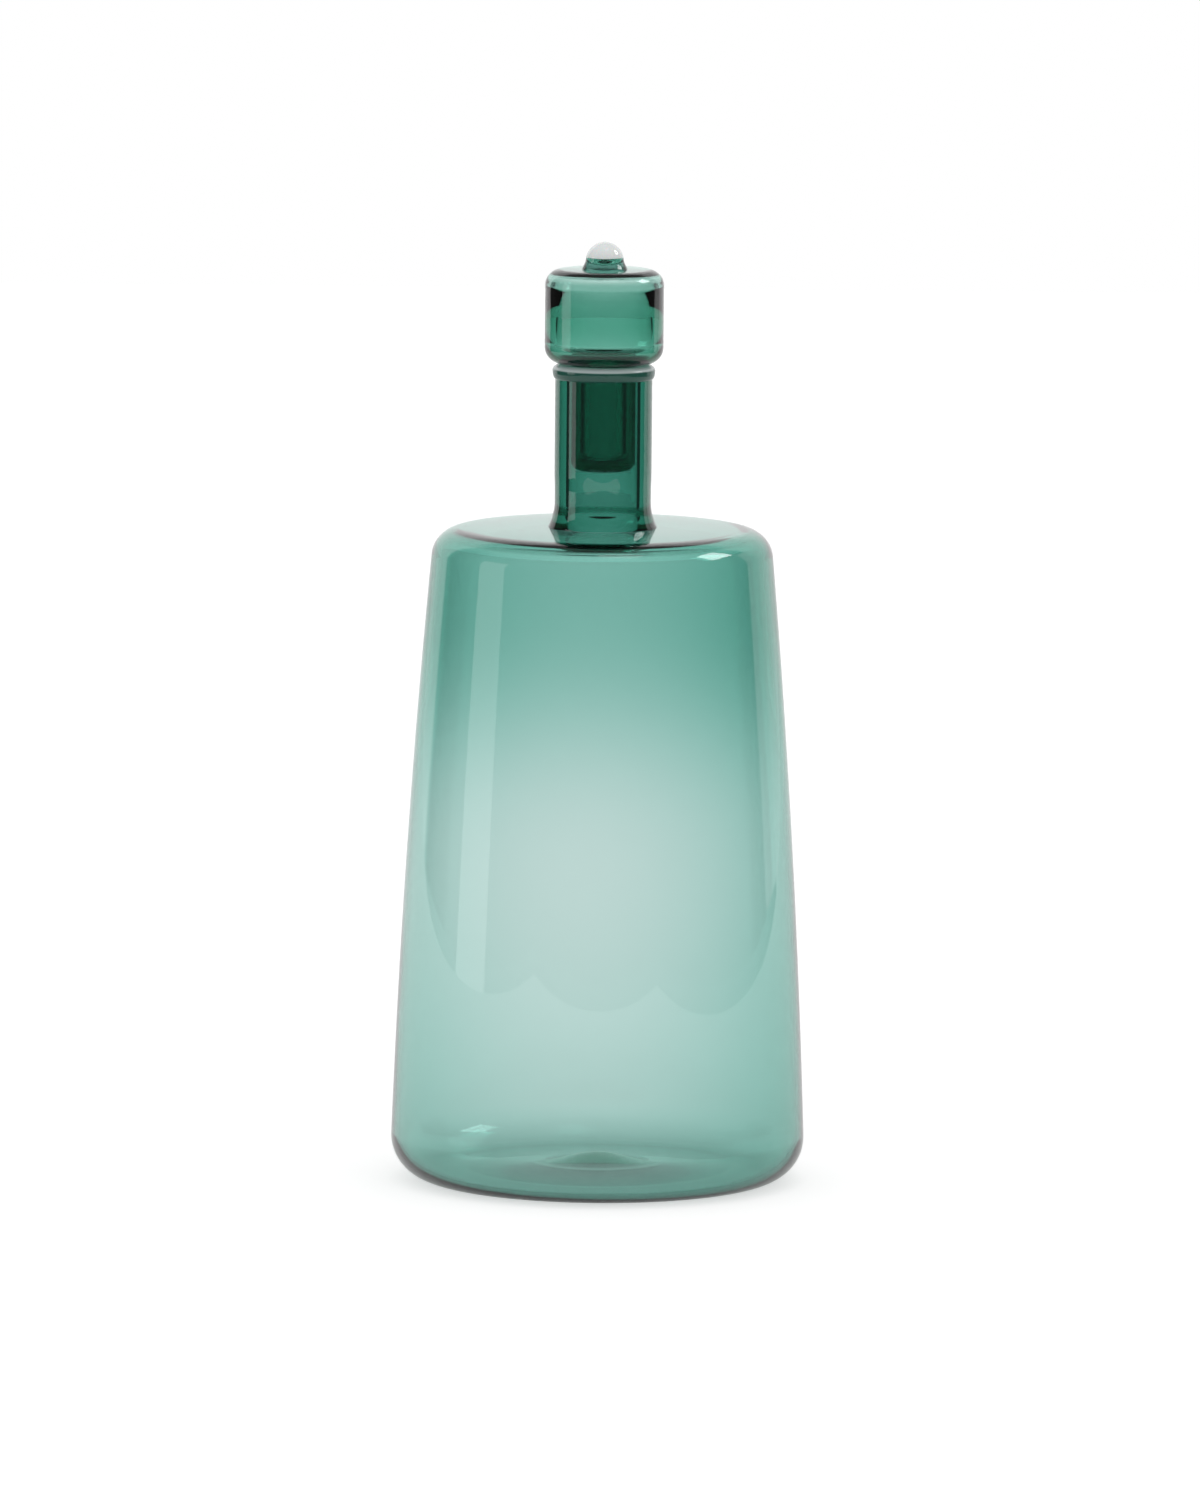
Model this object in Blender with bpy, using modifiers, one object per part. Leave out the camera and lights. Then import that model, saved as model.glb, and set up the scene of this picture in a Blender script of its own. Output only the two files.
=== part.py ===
"""Tall tapered bottle in green glass, with a thick neck tube and a hollow blown stopper.

Every piece is turned about the Z axis. The bottle stands on the plane z = 0, and all lengths are in metres.
The body, the neck tube and the lip ring are fused into the bottle. The head, the plug, the pip and the
bead are fused into the stopper, which lifts straight out of the neck.
"""

import math

import bpy

# Body: a shell blown thin in the middle and left thick at the shoulder, which falls away from the neck
body_height = 0.2092
base_diameter = 0.1318
shoulder_diameter = 0.1086
wall_bulge = 0.0013
base_fillet = 0.0137
shoulder_fillet = 0.0093
shoulder_dome = 0.0006
inner_base_fillet = 0.0124
inner_shoulder_fillet = 0.0080
thin_wall = 0.00075
foot_wall = 0.00125
shoulder_wall = 0.0024
ceiling_wall = 0.0025
thinnest_height = 0.095
full_height = 0.185
foot_swell_share = 1.5
top_swell_share = 1.4

# Floor of the body: a flat resting ring round a shallow dish with a low cone in its middle
resting_ring_width = 0.0062
floor_wall = 0.0020
punt_wall = 0.0024
dish_depth = 0.0014
punt_peak = 0.0032
punt_radius = 0.0205

# Neck tube, its slight waist and its flared foot, set into the hole in the shoulder
neck_diameter = 0.0309
bore_diameter = 0.0217
neck_rise = 0.0473
waist_depth = 0.00015
waist_height = 0.0105
foot_flare = 0.0018
flare_height = 0.0078
foot_edge = 0.0008
bore_flare_height = 0.0135

# Lip ring, rolled on round the mouth
lip_height = 0.0043
lip_overhang = 0.0009
lip_crest_drop = 0.0019
lip_crest_inset = 0.0031
lip_mouth_drop = 0.0015

# Stopper head, a hollow bubble with a flat top and a flat seat, its wall thickest round its middle
head_diameter = 0.03775
head_height = 0.02985
head_wall = 0.0040
head_thin_wall = 0.0014
head_thickest = 0.0143
head_thin_run = 0.0120
head_thin_share = 2
head_top_wall = 0.0016
head_seat_wall = 0.0028
head_top_fillet = 0.0050
head_seat_fillet = 0.0051
inner_seat_fillet = 0.0036
inner_top_fillet = 0.0026

# Stopper plug, a tube closed at its lower end
plug_diameter = 0.0204
plug_wall = 0.0042
plug_length = 0.0337
plug_floor = 0.0034
plug_corner = 0.0032
inner_plug_corner = 0.0024

# Pip and bead on top of the stopper
pip_height = 0.0035
pip_flare = 0.0012
pip_edge = 0.0004
bead_diameter = 0.0119
bead_rise = 0.00465
bead_cup_depth = 0.0030
belly_fullness = 3

# Clearance between pieces that are fused or seated
joint_gap = 0.0003

# Facets, and the distance within which points on the axis become one
weld_distance = 0.00001
body_steps = 56
stopper_steps = 40
arc_steps = 5
wall_steps = 8
dome_steps = 3
head_steps = 5

# Places worked out from the sizes above
base_radius = base_diameter / 2
shoulder_radius = shoulder_diameter / 2
neck_radius = neck_diameter / 2
bore_radius = bore_diameter / 2
foot_radius = neck_radius + foot_flare
bore_flare = foot_radius - foot_edge - bore_radius
lip_bottom = body_height + neck_rise + joint_gap
seat_height = lip_bottom + lip_height + joint_gap
head_top = seat_height + head_height
pip_bottom = head_top + joint_gap
bead_bottom = pip_bottom + pip_height + joint_gap


def glass(name, colour, roughness, transmission):
    """A Principled material of one piece's glass."""
    material = bpy.data.materials.new(name)
    material.use_nodes = True
    shader = material.node_tree.nodes["Principled BSDF"]
    shader.inputs["Base Color"].default_value = (*colour, 1)
    shader.inputs["Roughness"].default_value = roughness
    shader.inputs["Metallic"].default_value = 0
    shader.inputs["Transmission Weight"].default_value = transmission
    shader.inputs["IOR"].default_value = 1.5
    material.diffuse_color = (*colour, 1)
    return material


def arc(centre, radii, start, end, steps=arc_steps):
    """Points (radius, height) along an elliptic arc, from one angle in degrees to another."""
    points = []
    for i in range(steps + 1):
        angle = math.radians(start + (end - start) * i / steps)
        across = centre[0] + radii[0] * math.cos(angle)
        up = centre[1] + radii[1] * math.sin(angle)
        points.append((across, up))
    return points


def spread(first, last, steps):
    """Evenly spaced values from first to last, both included."""
    return [first + (last - first) * i / steps for i in range(steps + 1)]


def turned(name, outline, closed, steps, material, collection, height, parent=None):
    """One piece: an outline of (radius, height) points turned about its own Z axis by a Screw modifier.

    The outline runs up the inner side and down the outer side, so that the faces point out.
    """
    vertices = [(across, 0, up) for across, up in outline]
    edges = [(i, i + 1) for i in range(len(outline) - 1)]
    if closed:
        edges.append((len(outline) - 1, 0))
    mesh = bpy.data.meshes.new(name)
    mesh.from_pydata(vertices, edges, [])
    mesh.materials.append(material)
    piece = bpy.data.objects.new(name, mesh)
    collection.objects.link(piece)
    piece.location = (0, 0, height)
    if parent is not None:
        piece.parent = parent
    screw = piece.modifiers.new("turn", "SCREW")
    screw.axis = "Z"
    screw.angle = math.tau
    screw.steps = steps
    screw.render_steps = steps
    screw.use_merge_vertices = True
    screw.merge_threshold = weld_distance
    screw.use_smooth_shade = True
    return piece


# The body's wall: a straight taper with a parabolic swell, which leans its ends by four times its height

taper = base_radius - shoulder_radius
end_lean = 4 * wall_bulge
wall_run = body_height - shoulder_dome - base_fillet - shoulder_fillet
low_lean = math.atan((taper - end_lean) / wall_run)
high_lean = math.atan((taper + end_lean) / wall_run)
shoulder_across = shoulder_radius - shoulder_fillet * math.cos(high_lean)
shoulder_middle = body_height - shoulder_dome - shoulder_fillet
wall_low = base_fillet * (1 + math.sin(low_lean))
wall_high = shoulder_middle + shoulder_fillet * math.sin(high_lean)
resting_radius = base_radius - base_fillet * math.cos(low_lean)
dish_radius = resting_radius - resting_ring_width
dome_run = shoulder_across - foot_radius
dome_lean = math.degrees(math.atan(2 * shoulder_dome / dome_run))


def wall_radius(height):
    """Outer radius of the body's wall: a straight taper with a slight swell."""
    share = (height - wall_low) / (wall_high - wall_low)
    return base_radius - taper * share + end_lean * share * (1 - share)


def smooth(share):
    """A share from 0 to 1, eased in and out."""
    return (1 - math.cos(math.pi * share)) / 2


def wall_thickness(height):
    """The wall is thinnest a little below its middle, where the bubble was blown out furthest."""
    if height > thinnest_height:
        share = min(1, (height - thinnest_height) / (full_height - thinnest_height))
        return thin_wall + (shoulder_wall - thin_wall) * smooth(share**top_swell_share)
    share = min(1, (thinnest_height - height) / (thinnest_height - wall_low))
    return thin_wall + (foot_wall - thin_wall) * share**foot_swell_share


def inner_radius(height):
    return wall_radius(height) - wall_thickness(height)


def shoulder_height(radius):
    """Height of the shoulder's upper face, which falls away from the neck to the round of its edge."""
    share = max(0, radius - foot_radius) / dome_run
    return body_height - shoulder_dome * share**2


def underside(radius):
    """Height of the lower face: flat at the resting ring, then dished, with a low cone in its middle."""
    if radius >= dish_radius:
        return 0
    lift = dish_depth * (1 - (radius / dish_radius) ** 2)
    if radius < punt_radius:
        lift += punt_peak * smooth(1 - radius / punt_radius)
    return lift


def floor_height(radius):
    """Height of the floor inside the body."""
    share = min(1, radius / dish_radius)
    return underside(radius) + punt_wall + (floor_wall - punt_wall) * share**2


def body_outline():
    inner_turn = (inner_base_fillet, inner_base_fillet)
    ceiling_turn = (inner_shoulder_fillet, inner_shoulder_fillet)
    base_turn = (base_fillet, base_fillet)
    shoulder_turn = (shoulder_fillet, shoulder_fillet)
    low_degrees = math.degrees(low_lean)
    high_degrees = math.degrees(high_lean)
    floor_corner_height = floor_wall + inner_base_fillet
    floor_corner = (inner_radius(floor_corner_height) - inner_base_fillet, floor_corner_height)
    ceiling_corner_height = shoulder_height(shoulder_across) - ceiling_wall - inner_shoulder_fillet
    ceiling_corner_across = inner_radius(ceiling_corner_height) - inner_shoulder_fillet
    ceiling_corner = (ceiling_corner_across, ceiling_corner_height)
    hole_radius = foot_radius + joint_gap
    outline = [(radius, floor_height(radius)) for radius in spread(0, dish_radius, wall_steps)]
    outline += arc(floor_corner, inner_turn, -90, low_degrees)
    for height in spread(outline[-1][1], ceiling_corner_height, wall_steps)[1:-1]:
        outline.append((inner_radius(height), height))
    outline += arc(ceiling_corner, ceiling_turn, high_degrees, 90)
    for radius in spread(ceiling_corner_across, hole_radius, dome_steps)[1:]:
        outline.append((radius, shoulder_height(radius) - ceiling_wall))
    for radius in spread(hole_radius, shoulder_across, dome_steps)[:-1]:
        outline.append((radius, shoulder_height(radius)))
    outline += arc((shoulder_across, shoulder_middle), shoulder_turn, 90 - dome_lean, high_degrees)
    for height in spread(wall_high, wall_low, wall_steps)[1:-1]:
        outline.append((wall_radius(height), height))
    outline += arc((resting_radius, base_fillet), base_turn, low_degrees, -90)
    outline += [(radius, underside(radius)) for radius in spread(dish_radius, 0, wall_steps)]
    return outline


def neck_outline():
    """The tube, in heights above the shoulder's underside, where its foot ends."""
    foot = ceiling_wall
    outline = []
    for share in spread(0, 1, arc_steps):
        flare = bore_flare * (1 - math.sin(share * math.pi / 2))
        outline.append((bore_radius + flare, share * bore_flare_height))
    outline += [
        (bore_radius, foot + neck_rise),
        (neck_radius, foot + neck_rise),
        (neck_radius, foot + waist_height + flare_height),
        (neck_radius - waist_depth, foot + waist_height),
    ]
    for share in spread(1, 0, arc_steps)[1:]:
        flare = (foot_flare + waist_depth) * (1 - math.sin(share * math.pi / 2))
        outline.append((neck_radius - waist_depth + flare, foot + share * flare_height))
    outline.append((foot_radius, 0))
    return outline


def lip_outline():
    """A rolled ring that overhangs the neck, in heights above the neck's rim."""
    lip_radius = neck_radius + lip_overhang
    crest_radius = lip_radius - lip_crest_inset
    equator = lip_height - lip_crest_drop
    outline = [(bore_radius, 0)]
    mouth_centre = (crest_radius, lip_height - lip_mouth_drop)
    outline += arc(mouth_centre, (crest_radius - bore_radius, lip_mouth_drop), 180, 90)
    outline += arc((crest_radius, equator), (lip_crest_inset, lip_crest_drop), 90, 0)[1:]
    outline += arc((neck_radius, equator), (lip_overhang, equator), 0, -90)[1:]
    return outline


def head_inside(height):
    """Inner radius of the head at a height above its seat."""
    share = min(1, abs(height - head_thickest) / head_thin_run)
    return head_diameter / 2 - head_wall + (head_wall - head_thin_wall) * share**head_thin_share


def head_outline():
    """A squat bubble, in heights above its seat. Its hole meets the plug's bore."""
    radius = head_diameter / 2
    hole_radius = plug_diameter / 2 - plug_wall
    top_centre = (radius - head_top_fillet, head_height - head_top_fillet)
    seat_centre = (radius - head_seat_fillet, head_seat_fillet)
    low = head_seat_wall + inner_seat_fillet
    high = head_height - head_top_wall - inner_top_fillet
    inner_low = (head_inside(low) - inner_seat_fillet, low)
    inner_high = (head_inside(high) - inner_top_fillet, high)
    outline = [(0, head_height)]
    outline += arc(top_centre, (head_top_fillet, head_top_fillet), 90, 0)
    outline += arc(seat_centre, (head_seat_fillet, head_seat_fillet), 0, -90)
    outline += [(hole_radius, 0), (hole_radius, head_seat_wall)]
    outline += arc(inner_low, (inner_seat_fillet, inner_seat_fillet), -90, 0)
    outline += [(head_inside(height), height) for height in spread(low, high, head_steps)[1:-1]]
    outline += arc(inner_high, (inner_top_fillet, inner_top_fillet), 0, 90)
    outline.append((0, head_height - head_top_wall))
    return outline


def plug_outline():
    """A round-bottomed tube, in heights above its lower end."""
    radius = plug_diameter / 2
    inner = radius - plug_wall
    inner_centre = (inner - inner_plug_corner, plug_floor + inner_plug_corner)
    corner_centre = (radius - plug_corner, plug_corner)
    outline = [(0, plug_floor)]
    outline += arc(inner_centre, (inner_plug_corner, inner_plug_corner), -90, 0)
    outline += [(inner, plug_length), (radius, plug_length)]
    outline += arc(corner_centre, (plug_corner, plug_corner), 0, -90)
    outline.append((0, 0))
    return outline


def bead_belly(radius):
    """Depth of the bead's rounded underside below its rim."""
    return bead_cup_depth * (1 - (2 * radius / bead_diameter) ** belly_fullness)


def pip_outline():
    """A low cone with a flared foot, and a cup in its top that holds the bead."""
    rim = bead_diameter / 2
    foot = rim + pip_flare
    cup = [(radius, pip_height - bead_belly(radius)) for radius in spread(0, rim, arc_steps)]
    side = []
    for share in spread(1, 0, arc_steps)[1:]:
        flare = pip_flare * math.sin(share * math.pi / 2)
        side.append((foot - flare, pip_edge + share * (pip_height - pip_edge)))
    return cup + side + [(foot, 0), (0, 0)]


def bead_outline():
    """A dome with a shallow rounded underside, in heights above its rim."""
    rim = bead_diameter / 2
    sphere = (rim**2 + bead_rise**2) / (2 * bead_rise)
    edge = math.degrees(math.asin(1 - bead_rise / sphere))
    dome = arc((0, bead_rise - sphere), (sphere, sphere), 90, edge, arc_steps + arc_steps)
    belly = [(radius, -bead_belly(radius)) for radius in spread(rim, 0, arc_steps)[1:]]
    return dome + belly


for old in list(bpy.data.objects):
    bpy.data.objects.remove(old)

assembly = bpy.data.collections.new("Stoppered bottle")
bpy.context.scene.collection.children.link(assembly)

blown_glass = glass("Blown green glass", (0.42, 0.72, 0.65), 0.02, 1.0)
neck_glass = glass("Thick green glass", (0.03, 0.22, 0.16), 0.02, 1.0)
stopper_glass = glass("Stopper green glass", (0.09, 0.34, 0.26), 0.02, 1.0)
opal_glass = glass("Opal white glass", (0.87, 0.90, 0.89), 0.06, 0.0)

turned("bottle_body", body_outline(), False, body_steps, blown_glass, assembly, 0)
turned("neck_tube", neck_outline(), True, stopper_steps, neck_glass, assembly, body_height - ceiling_wall)
turned("lip_ring", lip_outline(), True, stopper_steps, neck_glass, assembly, lip_bottom)

stopper = bpy.data.objects.new("stopper", None)
assembly.objects.link(stopper)
stopper.location = (0, 0, seat_height)

plug_drop = -joint_gap - plug_length
pip_rise = pip_bottom - seat_height
bead_seat = bead_bottom - seat_height
turned("stopper_head", head_outline(), False, stopper_steps, stopper_glass, assembly, 0, stopper)
turned("stopper_plug", plug_outline(), False, stopper_steps, stopper_glass, assembly, plug_drop, stopper)
turned("finial_pip", pip_outline(), False, stopper_steps, stopper_glass, assembly, pip_rise, stopper)
turned("finial_bead", bead_outline(), False, stopper_steps, opal_glass, assembly, bead_seat, stopper)
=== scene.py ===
"""A stoppered bottle in green glass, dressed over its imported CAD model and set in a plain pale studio.

Every worked piece of glass is drawn as an outline and spun round the axis of the bottle. All lengths are in
metres, and the bottle stands on the plane z = 0.
"""

import math

import bpy
from mathutils import Matrix, Vector


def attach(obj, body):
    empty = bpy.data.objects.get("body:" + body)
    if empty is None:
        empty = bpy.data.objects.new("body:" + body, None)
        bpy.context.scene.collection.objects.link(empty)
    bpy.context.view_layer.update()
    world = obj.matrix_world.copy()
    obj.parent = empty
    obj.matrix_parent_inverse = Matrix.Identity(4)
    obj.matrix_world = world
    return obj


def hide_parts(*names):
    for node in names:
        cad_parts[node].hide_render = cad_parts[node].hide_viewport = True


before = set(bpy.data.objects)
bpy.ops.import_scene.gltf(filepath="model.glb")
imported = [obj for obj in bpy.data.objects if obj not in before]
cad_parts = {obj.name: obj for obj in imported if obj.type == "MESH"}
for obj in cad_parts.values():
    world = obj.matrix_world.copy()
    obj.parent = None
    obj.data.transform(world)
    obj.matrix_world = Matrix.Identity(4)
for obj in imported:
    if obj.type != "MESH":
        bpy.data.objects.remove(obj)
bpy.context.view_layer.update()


# Bottle body
# A bubble of green glass, blown thin in the middle and left thick at the shoulder and the floor. While it is
# soft, the floor is pushed up into a low cone and a hole is opened in the shoulder for the foot of the neck.

body_height = 0.2092
base_radius = 0.0659
shoulder_radius = 0.0543
wall_bulge = 0.0013
base_fillet = 0.0137
shoulder_fillet = 0.0093
inner_base_fillet = 0.0121
inner_shoulder_fillet = 0.0064
thin_wall = 0.00075
foot_wall = 0.00125
shoulder_wall = 0.0024
top_wall = 0.0025
thinnest_height = 0.095
thick_height = 0.185
foot_swell_power = 1.5
top_swell_power = 1.4
shoulder_dome = 0.0006
resting_ring_width = 0.0062
floor_wall = 0.0024
cone_wall = 0.0031
cone_rise = 0.0034
dish_depth = 0.0014
punt_peak = 0.0026
punt_radius = 0.0205
neck_foot_radius = 0.01725
bubble_shift = 0.0002
bubble_squeeze = 0.009
bubble_start = 0.022
bubble_run = 0.018
body_ripple_size = 0.045
body_ripple_depth = 0.00004
# Painted shade under the middle of the floor: its reach, its soft edge, how high it goes, and its colour
painted_shade_radius = 0.0205
painted_shade_edge = 0.0060
painted_shade_depth = 0.0004
painted_shade_colour = (0.30, 0.27, 0.27, 1)
glass_ior = 1.5

# Each metre of glass takes light by the density, times what the tint lacks of red, green and blue
glass_density = 400
glass_tint = (0.1975, 0.6625, 0.5825)

# Fused pieces meet within the melt. The values under it say how finely each piece is turned and smoothed
melt = 0.00002
weld_distance = 0.000002
crease_degrees = 50
spin_steps = 160
corner_steps = 14
wall_steps = 40


def green_glass(name, ripple_size, ripple_depth, clearness=1, density=glass_density, tint=glass_tint):
    """Clear glass, with the slow ripples that the fire leaves and a tint that deepens with its thickness."""
    material = bpy.data.materials.new(name)
    material.use_nodes = True
    nodes = material.node_tree.nodes
    links = material.node_tree.links
    shader = nodes["Principled BSDF"]
    shader.inputs["Base Color"].default_value = (clearness, clearness, clearness, 1)
    shader.inputs["Metallic"].default_value = 0
    shader.inputs["Roughness"].default_value = 0
    shader.inputs["IOR"].default_value = glass_ior
    shader.inputs["Transmission Weight"].default_value = 1
    place = nodes.new("ShaderNodeTexCoord")
    ripples = nodes.new("ShaderNodeTexNoise")
    ripples.inputs["Scale"].default_value = 1 / ripple_size
    ripples.inputs["Detail"].default_value = 1
    bump = nodes.new("ShaderNodeBump")
    bump.inputs["Distance"].default_value = ripple_depth
    links.new(place.outputs["Object"], ripples.inputs["Vector"])
    links.new(ripples.outputs["Fac"], bump.inputs["Height"])
    links.new(bump.outputs["Normal"], shader.inputs["Normal"])
    absorption = nodes.new("ShaderNodeVolumeAbsorption")
    absorption.inputs["Color"].default_value = (*tint, 1)
    absorption.inputs["Density"].default_value = density
    links.new(absorption.outputs["Volume"], nodes["Material Output"].inputs["Volume"])
    return material


def arc(centre, radii, start, end, steps):
    """Points (radius, height) along an elliptic arc, from one angle in degrees to another."""
    points = []
    for i in range(steps + 1):
        angle = math.radians(start + (end - start) * i / steps)
        points.append((centre[0] + radii[0] * math.cos(angle), centre[1] + radii[1] * math.sin(angle)))
    return points


def spread(first, last, steps):
    """Evenly spaced values from first to last, both included."""
    return [first + (last - first) * i / steps for i in range(steps + 1)]


def ease(share):
    """A share from 0 to 1 that starts and ends slowly."""
    return share**2 * (3 - 2 * share)


def turned(name, outline, glass):
    """Draws the outline from one point, an extrude at a time, and spins it round the axis of the bottle."""
    bpy.ops.object.select_all(action="DESELECT")
    across, up = outline[0]
    bpy.ops.mesh.primitive_plane_add(size=melt, location=(across, 0, up))
    piece = bpy.context.object
    piece.name = name
    piece.data.name = name
    bpy.ops.object.transform_apply(location=True, rotation=True, scale=True)
    bpy.ops.object.mode_set(mode="EDIT")
    bpy.ops.mesh.select_all(action="SELECT")
    bpy.ops.mesh.merge(type="CENTER")
    for here, there in zip(outline, outline[1:]):
        step = (there[0] - here[0], 0, there[1] - here[1])
        bpy.ops.mesh.extrude_vertices_move(TRANSFORM_OT_translate={"value": step})
    bpy.ops.mesh.select_all(action="SELECT")
    bpy.ops.mesh.spin(steps=spin_steps, angle=math.tau, center=(0, 0, 0), axis=(0, 0, 1), use_auto_merge=True)
    bpy.ops.mesh.select_all(action="SELECT")
    bpy.ops.mesh.remove_doubles(threshold=weld_distance)
    bpy.ops.mesh.normals_make_consistent(inside=False)
    bpy.ops.object.mode_set(mode="OBJECT")
    bpy.ops.object.shade_smooth_by_angle(angle=math.radians(crease_degrees))
    piece.data.materials.append(glass)
    return piece


# The wall is a straight taper with a swell, which leans its two ends by four times its height
taper = base_radius - shoulder_radius
end_lean = 4 * wall_bulge
wall_run = body_height - base_fillet - shoulder_fillet
low_lean = math.atan((taper - end_lean) / wall_run)
high_lean = math.atan((taper + end_lean) / wall_run)
wall_low = base_fillet * (1 + math.sin(low_lean))
shoulder_across = shoulder_radius - shoulder_fillet * math.cos(high_lean)
dome_run = shoulder_across - neck_foot_radius
dome_lean = math.atan(2 * shoulder_dome / dome_run)
shoulder_middle = body_height - shoulder_dome - shoulder_fillet
wall_high = shoulder_middle + shoulder_fillet * math.sin(high_lean)
resting_radius = base_radius - base_fillet * math.cos(low_lean)
dish_radius = resting_radius - resting_ring_width


def wall_radius(height):
    """A straight taper with a slight swell."""
    share = (height - wall_low) / (wall_high - wall_low)
    return base_radius - taper * share + end_lean * share * (1 - share)


def outer_radius(height):
    """The outline of the body: the wall, with the rounds of the base and of the shoulder."""
    if height < wall_low:
        return resting_radius + math.sqrt(max(0, base_fillet**2 - (base_fillet - height) ** 2))
    if height > wall_high:
        return shoulder_across + math.sqrt(max(0, shoulder_fillet**2 - (height - shoulder_middle) ** 2))
    return wall_radius(height)


def inner_radius(height):
    """The wall is thinnest a little below its middle, where the bubble was blown out furthest."""
    if height > thinnest_height:
        share = min(1, (height - thinnest_height) / (thick_height - thinnest_height)) ** top_swell_power
        return wall_radius(height) - thin_wall - (shoulder_wall - thin_wall) * ease(share)
    share = min(1, (thinnest_height - height) / (thinnest_height - wall_low)) ** foot_swell_power
    return wall_radius(height) - thin_wall - (foot_wall - thin_wall) * share


def dished(radius, peak):
    """Height over the resting ring of a shallow dish, with a low cone in the middle."""
    dish = dish_depth * (1 - min(1, radius / dish_radius) ** 2)
    cone = peak * (1 + math.cos(math.pi * min(1, radius / punt_radius))) / 2
    return dish + cone


def underside(radius):
    """Height of the lower face of the floor."""
    return dished(radius, punt_peak)


def floor_height(radius):
    """Height of the upper face of the floor, inside the body."""
    outer_share = max(0, min(1, (radius - punt_radius) / (dish_radius - punt_radius)))
    return dished(radius, cone_rise) + cone_wall + (floor_wall - cone_wall) * outer_share


def shoulder_height(radius):
    """The shoulder falls away a little from the neck to the round of its edge."""
    return body_height - shoulder_dome * (max(0, radius - neck_foot_radius) / dome_run) ** 2


ceiling = body_height - top_wall
floor_corner_height = floor_wall + inner_base_fillet
floor_corner = (inner_radius(floor_corner_height) - inner_base_fillet, floor_corner_height)
ceiling_corner_height = shoulder_height(shoulder_across) - top_wall - inner_shoulder_fillet
ceiling_corner = (inner_radius(ceiling_corner_height) - inner_shoulder_fillet, ceiling_corner_height)
shoulder_centre = (shoulder_across, shoulder_middle)
hole_radius = neck_foot_radius - melt

base_lean = math.degrees(low_lean)
shoulder_lean = math.degrees(high_lean)
inner_base_turn = (inner_base_fillet, inner_base_fillet)
inner_shoulder_turn = (inner_shoulder_fillet, inner_shoulder_fillet)
base_turn = (base_fillet, base_fillet)
shoulder_turn = (shoulder_fillet, shoulder_fillet)

body_outline = [(radius, floor_height(radius)) for radius in spread(0, dish_radius, wall_steps)]
body_outline += arc(floor_corner, inner_base_turn, -90, base_lean, corner_steps)
for height in spread(body_outline[-1][1], ceiling_corner_height, wall_steps)[1:-1]:
    body_outline.append((inner_radius(height), height))
body_outline += arc(ceiling_corner, inner_shoulder_turn, shoulder_lean, 90, corner_steps)
for radius in spread(ceiling_corner[0], hole_radius, corner_steps)[1:]:
    body_outline.append((radius, shoulder_height(radius) - top_wall))
for radius in spread(hole_radius, shoulder_across, corner_steps)[:-1]:
    body_outline.append((radius, shoulder_height(radius)))
body_outline += arc(shoulder_centre, shoulder_turn, 90 - math.degrees(dome_lean), shoulder_lean, corner_steps)
for height in spread(wall_high, wall_low, wall_steps)[1:-1]:
    body_outline.append((wall_radius(height), height))
body_outline += arc((resting_radius, base_fillet), base_turn, base_lean, -90, corner_steps)
body_outline += [(radius, underside(radius)) for radius in spread(dish_radius, 0, wall_steps)]

# Painted shade: under the middle of the floor the glass is tinted darker in a soft disc, which stands in for
# the dark inner reflection at the slopes of the cone
blown_glass = green_glass("Blown green glass", body_ripple_size, body_ripple_depth)
blown_nodes = blown_glass.node_tree.nodes
blown_links = blown_glass.node_tree.links
painted_shade_place = blown_nodes.new("ShaderNodeTexCoord")
painted_shade_reach = blown_nodes.new("ShaderNodeVectorMath")
painted_shade_reach.operation = "LENGTH"
painted_shade_disc = blown_nodes.new("ShaderNodeMapRange")
painted_shade_disc.interpolation_type = "SMOOTHSTEP"
painted_shade_disc.inputs["From Min"].default_value = painted_shade_radius
painted_shade_disc.inputs["From Max"].default_value = painted_shade_radius - painted_shade_edge
painted_shade_parts = blown_nodes.new("ShaderNodeSeparateXYZ")
painted_shade_below = blown_nodes.new("ShaderNodeMath")
painted_shade_below.operation = "LESS_THAN"
painted_shade_below.inputs[1].default_value = dish_depth + punt_peak + painted_shade_depth
painted_shade_share = blown_nodes.new("ShaderNodeMath")
painted_shade_share.operation = "MULTIPLY"
painted_shade_mix = blown_nodes.new("ShaderNodeMix")
painted_shade_mix.data_type = "RGBA"
painted_shade_mix.inputs["A"].default_value = (1, 1, 1, 1)
painted_shade_mix.inputs["B"].default_value = painted_shade_colour
blown_links.new(painted_shade_place.outputs["Object"], painted_shade_reach.inputs[0])
blown_links.new(painted_shade_place.outputs["Object"], painted_shade_parts.inputs[0])
blown_links.new(painted_shade_reach.outputs["Value"], painted_shade_disc.inputs["Value"])
blown_links.new(painted_shade_parts.outputs["Z"], painted_shade_below.inputs[0])
blown_links.new(painted_shade_disc.outputs["Result"], painted_shade_share.inputs[0])
blown_links.new(painted_shade_below.outputs[0], painted_shade_share.inputs[1])
blown_links.new(painted_shade_share.outputs[0], painted_shade_mix.inputs["Factor"])
blown_links.new(painted_shade_mix.outputs["Result"], blown_nodes["Principled BSDF"].inputs["Base Color"])
body = turned("body_glass", body_outline, blown_glass)

# The bubble is a little oval and off centre in the round body: its inner faces move, and the outer ones stay
for vertex in body.data.vertices:
    across = math.hypot(vertex.co.x, vertex.co.y)
    share = max(0, min(1, (across - bubble_start) / bubble_run))
    skin = outer_radius(vertex.co.z) - across
    inside = floor_height(across) - melt < vertex.co.z < shoulder_height(across) - top_wall + melt
    if inside and skin > thin_wall / 2:
        vertex.co.x -= ease(share) * (bubble_shift + bubble_squeeze * vertex.co.x)
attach(body, "bottle")
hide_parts("bottle_body")


# Neck tube
# A thick tube of the same glass, which is drawn out to a slight waist while it is soft. Its foot is flared,
# and fused into the hole in the shoulder of the body.

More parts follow.
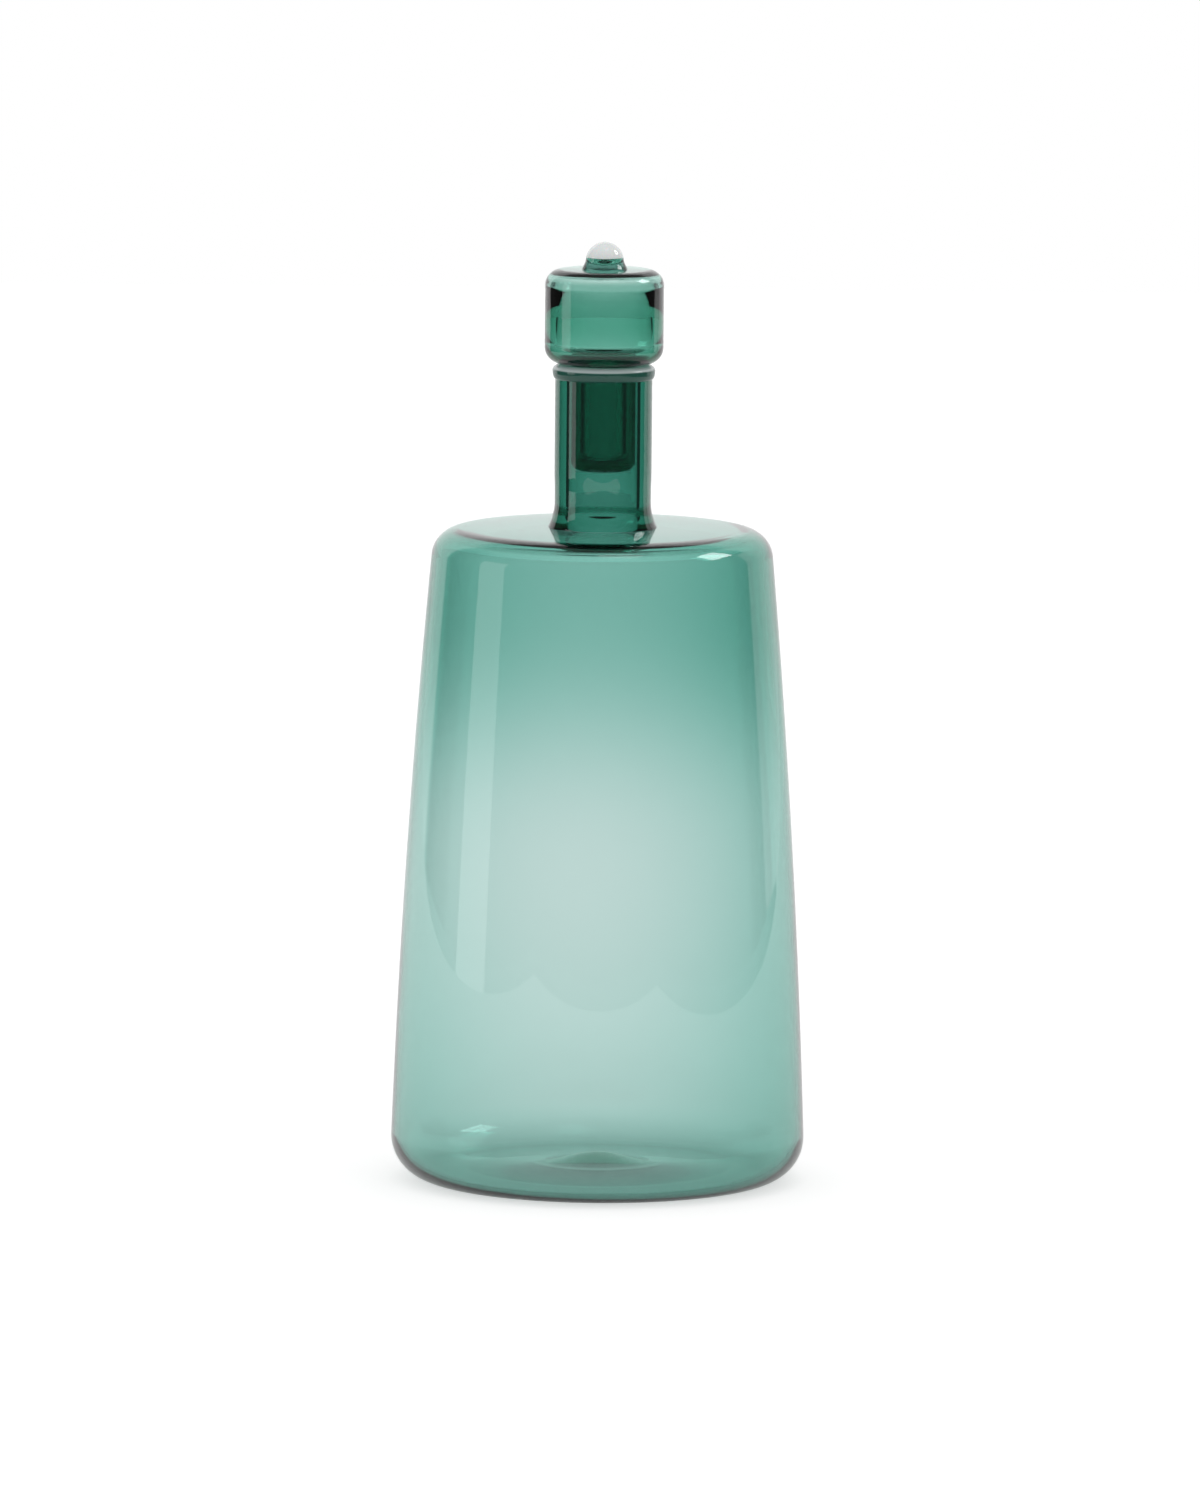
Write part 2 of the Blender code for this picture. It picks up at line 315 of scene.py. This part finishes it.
neck_radius = 0.01545
bore_radius = 0.01085
neck_rise = 0.0473
waist_depth = 0.00015
waist_height = 0.0105
foot_flare = neck_foot_radius - neck_radius
flare_height = 0.0078
bore_flare = 0.0040
bore_flare_height = 0.0065
neck_ripple_size = 0.02
neck_ripple_depth = 0.00003
neck_clearness = 0.85
neck_top = body_height + neck_rise

neck_outline = []
for share in spread(0, 1, corner_steps):
    flare = bore_flare * (1 - math.sin(share * math.pi / 2))
    neck_outline.append((bore_radius + flare, ceiling + share * bore_flare_height))
neck_outline += [(bore_radius, neck_top), (neck_radius, neck_top)]
for share in spread(1, 0, corner_steps):
    swell = waist_depth * math.sin(share * math.pi / 2) ** 2
    height = body_height + waist_height + share * flare_height
    neck_outline.append((neck_radius - waist_depth + swell, height))
for share in spread(1, 0, corner_steps):
    flare = (foot_flare + waist_depth) * (1 - math.sin(share * math.pi / 2))
    neck_outline.append((neck_radius - waist_depth + flare, body_height + share * flare_height))
neck_outline += [(neck_foot_radius, ceiling), neck_outline[0]]

thick_glass = green_glass("Thick green glass", neck_ripple_size, neck_ripple_depth, neck_clearness)
neck = turned("neck_glass", neck_outline, thick_glass)
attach(neck, "bottle")
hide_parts("neck_tube")


# Lip ring
# A ring of soft green glass, rolled on round the mouth so that it overhangs the neck a little. Its top is
# ground pale where the stopper rests.

lip_height = 0.0046
lip_overhang = 0.0009
lip_crest_drop = 0.0019
lip_crest_inset = 0.0031
lip_mouth_drop = 0.0015
lip_ripple_size = 0.004
lip_ripple_depth = 0.00004
lip_transmission = 0.5
ground_depth = 0.0018
ground_edge = 0.0006
ground_colour = (0.88, 1, 1, 1)
ground_roughness = 0.22
rolled_colour = (0.03, 0.16, 0.12, 1)
rolled_roughness = 0.04
lip_bottom = neck_top - melt
lip_top = neck_top + lip_height
equator = lip_top - lip_crest_drop
crest_radius = neck_radius + lip_overhang - lip_crest_inset

lip_outline = [(bore_radius, lip_bottom)]
mouth_turn = (crest_radius - bore_radius, lip_mouth_drop)
lip_outline += arc((crest_radius, lip_top - lip_mouth_drop), mouth_turn, 180, 90, corner_steps)
lip_outline += arc((crest_radius, equator), (lip_crest_inset, lip_crest_drop), 90, 0, corner_steps)[1:]
lip_outline += arc((neck_radius, equator), (lip_overhang, equator - lip_bottom), 0, -90, corner_steps)[1:]
lip_outline.append(lip_outline[0])

ground_glass = green_glass("Ground green glass", lip_ripple_size, lip_ripple_depth)
ground_nodes = ground_glass.node_tree.nodes
ground_links = ground_glass.node_tree.links
ground_shader = ground_nodes["Principled BSDF"]
ground_shader.inputs["Transmission Weight"].default_value = lip_transmission
ground_place = ground_nodes.new("ShaderNodeTexCoord")
ground_parts = ground_nodes.new("ShaderNodeSeparateXYZ")
ground_band = ground_nodes.new("ShaderNodeMapRange")
ground_band.interpolation_type = "SMOOTHSTEP"
ground_band.inputs["From Min"].default_value = lip_top - ground_depth
ground_band.inputs["From Max"].default_value = lip_top - ground_depth + ground_edge
ground_finish = ground_nodes.new("ShaderNodeMapRange")
ground_finish.inputs["To Min"].default_value = rolled_roughness
ground_finish.inputs["To Max"].default_value = ground_roughness
ground_mix = ground_nodes.new("ShaderNodeMix")
ground_mix.data_type = "RGBA"
ground_mix.inputs["A"].default_value = rolled_colour
ground_mix.inputs["B"].default_value = ground_colour
ground_links.new(ground_place.outputs["Object"], ground_parts.inputs[0])
ground_links.new(ground_parts.outputs["Z"], ground_band.inputs["Value"])
ground_links.new(ground_band.outputs["Result"], ground_finish.inputs["Value"])
ground_links.new(ground_finish.outputs["Result"], ground_shader.inputs["Roughness"])
ground_links.new(ground_band.outputs["Result"], ground_mix.inputs["Factor"])
ground_links.new(ground_mix.outputs["Result"], ground_shader.inputs["Base Color"])
lip = turned("lip_glass", lip_outline, ground_glass)
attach(lip, "bottle")
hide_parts("lip_ring")


# Stopper head
# A squat bubble of green glass with a thick wall, which finger and thumb grip. It is flattened at the top and
# at the seat, which rests on the lip.

head_radius = 0.018875
head_height = 0.02985
head_wall = 0.0040
head_thin_wall = 0.0014
head_thickest = 0.0143
head_low_run = 0.0120
head_high_run = 0.0100
head_thin_power = 2
head_top_wall = 0.0016
head_seat_wall = 0.0028
head_top_fillet = 0.0050
head_seat_fillet = 0.0051
inner_head_fillet = 0.0036
inner_head_top_fillet = 0.0026
plug_radius = 0.0102
plug_wall = 0.0042
seat_gap = 0.0003
stopper_tint = (0.1975, 0.6625, 0.56)
stopper_ripple_size = 0.018
stopper_ripple_depth = 0.00003
seat_height = lip_top + seat_gap
belly_height = seat_height + head_thickest
head_top = seat_height + head_height

top_centre = (head_radius - head_top_fillet, head_top - head_top_fillet)
seat_centre = (head_radius - head_seat_fillet, seat_height + head_seat_fillet)
head_hole = plug_radius - plug_wall


def head_inside(height):
    """The wall of the bubble is thickest round its belly, and thins towards its top and its seat."""
    run = head_high_run if height > belly_height else head_low_run
    share = min(1, abs(height - belly_height) / run)
    return head_radius - head_wall + (head_wall - head_thin_wall) * share**head_thin_power


top_turn = (head_top_fillet, head_top_fillet)
seat_turn = (head_seat_fillet, head_seat_fillet)
low_turn = (inner_head_fillet, inner_head_fillet)
high_turn = (inner_head_top_fillet, inner_head_top_fillet)
inner_low_height = seat_height + head_seat_wall + inner_head_fillet
inner_high_height = head_top - head_top_wall - inner_head_top_fillet
inner_low = (head_inside(inner_low_height) - inner_head_fillet, inner_low_height)
inner_high = (head_inside(inner_high_height) - inner_head_top_fillet, inner_high_height)

head_outline = [(0, head_top)]
head_outline += arc(top_centre, top_turn, 90, 0, corner_steps)
head_outline += arc(seat_centre, seat_turn, 0, -90, corner_steps)
head_outline += [(head_hole, seat_height), (head_hole, seat_height + head_seat_wall)]
head_outline += arc(inner_low, low_turn, -90, 0, corner_steps)
for height in spread(inner_low_height, inner_high_height, wall_steps)[1:-1]:
    head_outline.append((head_inside(height), height))
head_outline += arc(inner_high, high_turn, 0, 90, corner_steps)
head_outline.append((0, head_top - head_top_wall))

stopper_glass = green_glass(
    "Stopper green glass", stopper_ripple_size, stopper_ripple_depth, tint=stopper_tint
)
head = turned("head_glass", head_outline, stopper_glass)
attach(head, "stopper")
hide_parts("stopper_head")


# Stopper plug
# A tube of the stopper's glass, closed and rounded at its lower end. It is fused under the head, and goes
# down into the bore of the neck.

plug_length = 0.0340
plug_floor = 0.0034
plug_corner = 0.0032
inner_plug_corner = 0.0024
plug_top = seat_height + melt
plug_bottom = seat_height - plug_length

inner_plug_centre = (head_hole - inner_plug_corner, plug_bottom + plug_floor + inner_plug_corner)
inner_plug_turn = (inner_plug_corner, inner_plug_corner)
plug_centre = (plug_radius - plug_corner, plug_bottom + plug_corner)
plug_turn = (plug_corner, plug_corner)
plug_outline = [(0, plug_bottom + plug_floor)]
plug_outline += arc(inner_plug_centre, inner_plug_turn, -90, 0, corner_steps)
plug_outline += [(head_hole, plug_top), (plug_radius, plug_top)]
plug_outline += arc(plug_centre, plug_turn, 0, -90, corner_steps)
plug_outline.append((0, plug_bottom))

plug = turned("plug_glass", plug_outline, stopper_glass)
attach(plug, "stopper")
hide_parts("stopper_plug")


# Pip
# A small cone of paler green glass with a flared foot, pinched from a drop that is fused on top of the head.
# Its top is cupped to hold the bead.

pip_height = 0.0038
pip_flare = 0.0012
pip_edge = 0.0004
bead_radius = 0.00595
bead_cup_depth = 0.0030
bead_cup_power = 3
pip_density = 170
pip_ripple_size = 0.006
pip_ripple_depth = 0.00004
pip_top = head_top + pip_height
pip_bottom = head_top - melt
pip_foot = bead_radius + pip_flare


def bead_cup(radius):
    """Depth of the cup between the pip and the bead."""
    return bead_cup_depth * (1 - (radius / bead_radius) ** bead_cup_power)


pip_outline = [(radius, pip_top - bead_cup(radius)) for radius in spread(0, bead_radius, corner_steps)]
for share in spread(1, 0, corner_steps)[1:]:
    flare = pip_flare * math.sin(share * math.pi / 2)
    pip_outline.append((pip_foot - flare, pip_bottom + pip_edge + share * (pip_top - pip_bottom - pip_edge)))
pip_outline += [(pip_foot, pip_bottom), (0, pip_bottom)]

pale_glass = green_glass("Pale green glass", pip_ripple_size, pip_ripple_depth, density=pip_density)
pip = turned("pip_glass", pip_outline, pale_glass)
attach(pip, "stopper")
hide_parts("finial_pip")


# Bead
# A dome of white opal glass, set hot in the cup of the pip. A little light goes into it, and the fire has
# polished its skin.

bead_height = 0.00495
opal_milky = (0.70, 0.73, 0.72, 1)
opal_white = (0.78, 0.80, 0.80, 1)
opal_cloud_scale = 300
opal_roughness = 0.08
opal_light_share = 0.1
opal_light_depth = 0.002
bead_top = pip_top + bead_height
bead_bottom = pip_top + melt
bead_rise = bead_top - bead_bottom
bead_sphere = (bead_radius**2 + bead_rise**2) / (2 * bead_rise)
bead_edge = math.degrees(math.asin(1 - bead_rise / bead_sphere))

bead_outline = arc((0, bead_top - bead_sphere), (bead_sphere, bead_sphere), 90, bead_edge, wall_steps)
for radius in spread(bead_radius, 0, corner_steps)[1:]:
    bead_outline.append((radius, bead_bottom - bead_cup(radius)))

opal = bpy.data.materials.new("White opal glass")
opal.use_nodes = True
opal_nodes = opal.node_tree.nodes
opal_links = opal.node_tree.links
opal_shader = opal_nodes["Principled BSDF"]
opal_shader.inputs["Roughness"].default_value = opal_roughness
opal_shader.inputs["IOR"].default_value = glass_ior
opal_shader.inputs["Subsurface Weight"].default_value = opal_light_share
opal_shader.inputs["Subsurface Scale"].default_value = opal_light_depth
opal_place = opal_nodes.new("ShaderNodeTexCoord")
opal_cloud = opal_nodes.new("ShaderNodeTexNoise")
opal_cloud.inputs["Scale"].default_value = opal_cloud_scale
opal_ramp = opal_nodes.new("ShaderNodeValToRGB")
opal_ramp.color_ramp.elements[0].color = opal_milky
opal_ramp.color_ramp.elements[1].color = opal_white
opal_links.new(opal_place.outputs["Object"], opal_cloud.inputs["Vector"])
opal_links.new(opal_cloud.outputs["Fac"], opal_ramp.inputs["Fac"])
opal_links.new(opal_ramp.outputs["Color"], opal_shader.inputs["Base Color"])
bead = turned("bead_glass", bead_outline, opal)
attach(bead, "stopper")
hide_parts("finial_bead")


# Floor
# A pale matt floor that the bottle stands on, and that ends at the sides of the room. It is lifted so that
# the camera sees it white with the bottle's soft shadow, and the glass sees it a little darker.

floor_left = -1.05
floor_right = 0.91
floor_front = -1.4
floor_back = 3.0
floor_drop = 0.0002
floor_colour = (0.5, 0.5, 0.5, 1)
floor_roughness = 0.9
floor_sheen = 0.1
camera_lift = 0.62
glass_lift = 0.38

bpy.ops.object.select_all(action="DESELECT")
bpy.ops.mesh.primitive_plane_add(size=1, location=(0, 0, 0))
floor = bpy.context.object
floor.name = "pale_floor"
floor.scale = (floor_right - floor_left, floor_back - floor_front, 1)
floor.location = ((floor_left + floor_right) / 2, (floor_front + floor_back) / 2, -floor_drop)
bpy.ops.object.transform_apply(location=True, rotation=True, scale=True)
pale = bpy.data.materials.new("Pale matt floor")
pale.use_nodes = True
pale_nodes = pale.node_tree.nodes
pale_links = pale.node_tree.links
pale_shader = pale_nodes["Principled BSDF"]
pale_shader.inputs["Base Color"].default_value = floor_colour
pale_shader.inputs["Roughness"].default_value = floor_roughness
pale_shader.inputs["Specular IOR Level"].default_value = floor_sheen
pale_shader.inputs["Emission Color"].default_value = (1, 1, 1, 1)
floor_rays = pale_nodes.new("ShaderNodeLightPath")
floor_glass = pale_nodes.new("ShaderNodeMath")
floor_glass.operation = "MAXIMUM"
floor_seen = pale_nodes.new("ShaderNodeMath")
floor_seen.operation = "MULTIPLY"
floor_seen.inputs[1].default_value = glass_lift
floor_lift = pale_nodes.new("ShaderNodeMath")
floor_lift.operation = "MULTIPLY_ADD"
floor_lift.inputs[1].default_value = camera_lift
pale_links.new(floor_rays.outputs["Is Glossy Ray"], floor_glass.inputs[0])
pale_links.new(floor_rays.outputs["Is Transmission Ray"], floor_glass.inputs[1])
pale_links.new(floor_glass.outputs[0], floor_seen.inputs[0])
pale_links.new(floor_rays.outputs["Is Camera Ray"], floor_lift.inputs[0])
pale_links.new(floor_seen.outputs[0], floor_lift.inputs[2])
pale_links.new(floor_lift.outputs[0], pale_shader.inputs["Emission Strength"])
floor.data.materials.append(pale)


# Studio
# The glass sees a white backdrop, a dark gap at each side of it that draws the dark edges, and a pale room
# past that. A tall softbox on the left, and a dim wall and a bright softbox on the right, make the
# reflections. The camera sees white past the floor, and an even pale sky lights the floor.

# Levels of the backdrop as seen through the glass and in its reflections, and of the rest of the sky
seen_level = 0.93
shine_level = 1.02
room_level = 0.08
ceiling_level = 0.28
side_level = 0.7
plain_level = 0.97

# Degrees to either side of the backdrop's middle, and degrees above the floor
backdrop_end = 49
gap_start = 52
gap_end = 72
side_start = 78
backdrop_top = 38
ceiling_start = 46

world = bpy.data.worlds.new("Studio")
bpy.context.scene.world = world
world.use_nodes = True
sky = world.node_tree
sky.nodes.clear()


def sky_math(operation, first, second=None):
    """One Math node of the sky, with numbers or sockets on its inputs."""
    node = sky.nodes.new("ShaderNodeMath")
    node.operation = operation
    for socket, given in zip(node.inputs, (first, second)):
        if given is None:
            continue
        if isinstance(given, (int, float)):
            socket.default_value = given
        else:
            sky.links.new(given, socket)
    return node.outputs[0]


def sky_edge(given, start, end):
    """1 below start, 0 above end, and smooth between them."""
    node = sky.nodes.new("ShaderNodeMapRange")
    node.interpolation_type = "SMOOTHSTEP"
    sky.links.new(given, node.inputs["Value"])
    node.inputs["From Min"].default_value = start
    node.inputs["From Max"].default_value = end
    node.inputs["To Min"].default_value = 1
    node.inputs["To Max"].default_value = 0
    return node.outputs["Result"]


sky_place = sky.nodes.new("ShaderNodeTexCoord")
sky_parts = sky.nodes.new("ShaderNodeSeparateXYZ")
sky.links.new(sky_place.outputs["Generated"], sky_parts.inputs[0])
azimuth = sky_math("ABSOLUTE", sky_math("ARCTAN2", sky_parts.outputs[0], sky_parts.outputs[1]))
backdrop = sky_edge(azimuth, math.radians(backdrop_end), math.radians(gap_start))
top_sine = math.sin(math.radians(backdrop_top))
ceiling_sine = math.sin(math.radians(ceiling_start))
below_top = sky_edge(sky_parts.outputs[2], top_sine, ceiling_sine)
behind = sky_math("MULTIPLY", backdrop, below_top)
above = sky_math("MULTIPLY", sky_math("SUBTRACT", 1, below_top), ceiling_level - room_level)
seen_by = sky.nodes.new("ShaderNodeLightPath")
shine = sky_math("MULTIPLY", seen_by.outputs["Is Glossy Ray"], shine_level - seen_level)
backdrop_level = sky_math("ADD", shine, seen_level - room_level)
room = sky_math("ADD", sky_math("ADD", room_level, above), sky_math("MULTIPLY", behind, backdrop_level))
past_gap = sky_math("SUBTRACT", 1, sky_edge(azimuth, math.radians(gap_end), math.radians(side_start)))
beside = sky_math("MULTIPLY", past_gap, below_top)
side_light = sky_math("MULTIPLY", seen_by.outputs["Is Transmission Ray"], side_level - room_level)
room = sky_math("ADD", room, sky_math("MULTIPLY", beside, side_light))
by_glass = sky_math("MAXIMUM", seen_by.outputs["Is Glossy Ray"], seen_by.outputs["Is Transmission Ray"])
for_glass = sky_math("MULTIPLY", by_glass, sky_math("SUBTRACT", room, plain_level))
for_all = sky_math("ADD", plain_level, for_glass)
to_white = sky_math("MULTIPLY", seen_by.outputs["Is Camera Ray"], sky_math("SUBTRACT", 1, for_all))
sky_light = sky.nodes.new("ShaderNodeBackground")
sky_light.inputs["Color"].default_value = (1, 1, 1, 1)
sky.links.new(sky_math("ADD", for_all, to_white), sky_light.inputs["Strength"])
sky_output = sky.nodes.new("ShaderNodeOutputWorld")
sky.links.new(sky_light.outputs[0], sky_output.inputs["Surface"])


def softbox(name, middle_degrees, width_degrees, distance, low, high, strength):
    """A lit sheet that stands round the bottle, at an angle from the camera's side, positive to the right."""
    steps = 12
    bpy.ops.object.select_all(action="DESELECT")
    bpy.ops.mesh.primitive_grid_add(x_subdivisions=steps, y_subdivisions=1, size=1, location=(0, 0, 0))
    card = bpy.context.object
    card.name = name
    for vertex in card.data.vertices:
        degrees = middle_degrees + vertex.co.x * width_degrees
        across = distance * math.sin(math.radians(degrees))
        towards = -distance * math.cos(math.radians(degrees))
        height = low if vertex.co.y < 0 else high
        vertex.co = (across, towards, height)
    material = bpy.data.materials.new(name)
    material.use_nodes = True
    nodes = material.node_tree.nodes
    nodes.remove(nodes["Principled BSDF"])
    glow = nodes.new("ShaderNodeEmission")
    glow.inputs["Strength"].default_value = strength
    material.node_tree.links.new(glow.outputs[0], nodes["Material Output"].inputs["Surface"])
    card.data.materials.append(material)
    card.visible_camera = False
    card.visible_diffuse = False
    card.visible_shadow = False
    return card


left_light = softbox(
    "left_softbox", middle_degrees=-79.3, width_degrees=21.5, distance=2.4, low=-0.11, high=1.1, strength=1.6
)
left_light.visible_transmission = False
side_wall = softbox(
    "right_side_wall", middle_degrees=120.5, width_degrees=14, distance=1.2, low=0, high=0.8, strength=0.9
)
side_wall.visible_transmission = False
softbox("right_softbox", middle_degrees=100, width_degrees=26, distance=1.2, low=0.9, high=1.5, strength=7)

lamp_place = (0.2, -0.3, 1.6)
lamp_aim = (0, 0, 0.1)
lamp_width = 0.5
lamp_power = 0.8
bpy.ops.object.light_add(type="AREA", location=lamp_place)
lamp = bpy.context.object
lamp.name = "overhead_lamp"
lamp.data.shape = "DISK"
lamp.data.size = lamp_width
lamp.data.energy = lamp_power
lamp.rotation_euler = (Vector(lamp_aim) - lamp.location).to_track_quat("-Z", "Y").to_euler()


# Camera
# It stands about 4.6 metres away and looks down by about seven degrees, rolled by half a degree. Its place
# was fitted to the outline of the bottle in the photograph.

camera_place = Vector((0, -4.572, 0.7197))
camera_aim = Vector((-0.0002, 0, 0.1376))
camera_roll = 0.008546
camera_lens = 347.4
camera_sensor = 36

camera_data = bpy.data.cameras.new("camera")
camera_data.lens = camera_lens
camera_data.sensor_width = camera_sensor
camera = bpy.data.objects.new("camera", camera_data)
bpy.context.scene.collection.objects.link(camera)
look = (camera_aim - camera_place).to_track_quat("-Z", "Y").to_matrix().to_4x4()
camera.matrix_world = Matrix.Translation(camera_place) @ look @ Matrix.Rotation(camera_roll, 4, "Z")
bpy.context.scene.camera = camera
bpy.context.scene.view_settings.view_transform = "Standard"
